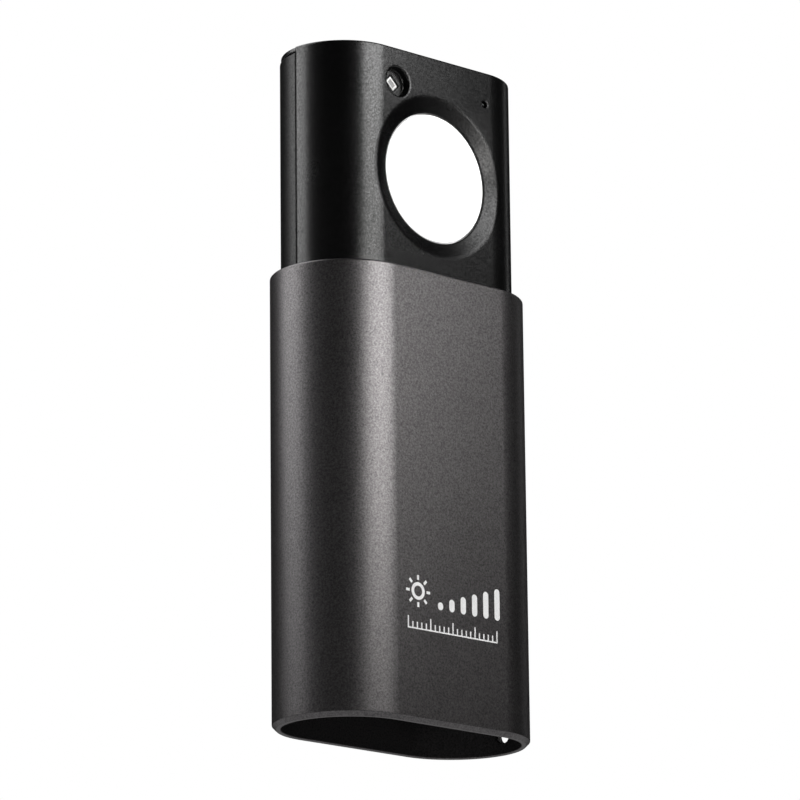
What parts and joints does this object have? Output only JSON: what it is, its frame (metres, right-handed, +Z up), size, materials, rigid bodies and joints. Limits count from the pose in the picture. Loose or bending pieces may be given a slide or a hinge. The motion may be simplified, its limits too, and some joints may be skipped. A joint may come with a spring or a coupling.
{
  "type": "pocket light meter",
  "caption": "Flat oval light-metering core with a round opal diffuser that slides out of an oval metal sleeve; coin-cell battery cap on the back.",
  "frame": {"origin": "centre of the sleeve's lower end face", "axes": "+Z up along the sleeve and the slide, the front with the diffuser faces -Y, +X to the right seen from the front; rest is the core drawn fully out"},
  "size_m": [0.034, 0.0174, 0.08],
  "materials": {
    "anodised_sleeve": "bead-blasted, dark grey anodised, satin",
    "core_plastic": "satin black, fine moulded grain",
    "opal_diffuser": "smooth opal white",
    "white_plastic": "matte white",
    "ceramic_package": "pale, smooth",
    "circuit_laminate": "green solder mask",
    "module_laminate": "blue solder mask",
    "nickel_plate": "bright nickel plate",
    "cell_steel": "brushed steel can",
    "clear_acrylic": "clear, polished",
    "cap_plastic": "satin black",
    "seal_rubber": "smooth black rubber",
    "spring_steel": "bright rolled strip",
    "black_screw_steel": "black zinc plate"
  },
  "bodies": {
    "sleeve": {"sleeve_shell": "anodised_sleeve"},
    "core": {"front_housing": "core_plastic", "rear_cover": "core_plastic", "diffuser": "opal_diffuser", "light_chamber": "white_plastic", "colour_sensor": "ceramic_package", "flicker_riser": "circuit_laminate", "flicker_photodiode": "ceramic_package", "light_pipe": "clear_acrylic", "status_led": "ceramic_package", "main_board": "circuit_laminate", "radio_module": "module_laminate", "radio_shield": "nickel_plate", "antenna_chip": "ceramic_package", "coin_cell": "cell_steel", "battery_contact_negative": "nickel_plate", "battery_contact_positive": "nickel_plate", "detent_spring_left": "spring_steel", "detent_spring_right": "spring_steel", "case_screw_1": "black_screw_steel", "case_screw_2": "black_screw_steel", "case_screw_3": "black_screw_steel", "case_screw_4": "black_screw_steel", "board_screw_1": "black_screw_steel", "board_screw_2": "black_screw_steel", "board_screw_3": "black_screw_steel", "board_screw_4": "black_screw_steel"},
    "cap": {"battery_cap": "cap_plastic", "battery_cap_seal": "seal_rubber"}
  },
  "joints": [
    {"name": "core_slide", "type": "slide", "parent": "sleeve", "child": "core", "axis": [0, 0, 1], "range_m": [-0.0267, 0]},
    {"name": "cap_turn", "type": "hinge", "parent": "core", "child": "cap", "pos_m": [0, 0.0055, 0.0655], "axis": [0, 1, 0], "range_deg": [0, 45]}
  ]
}
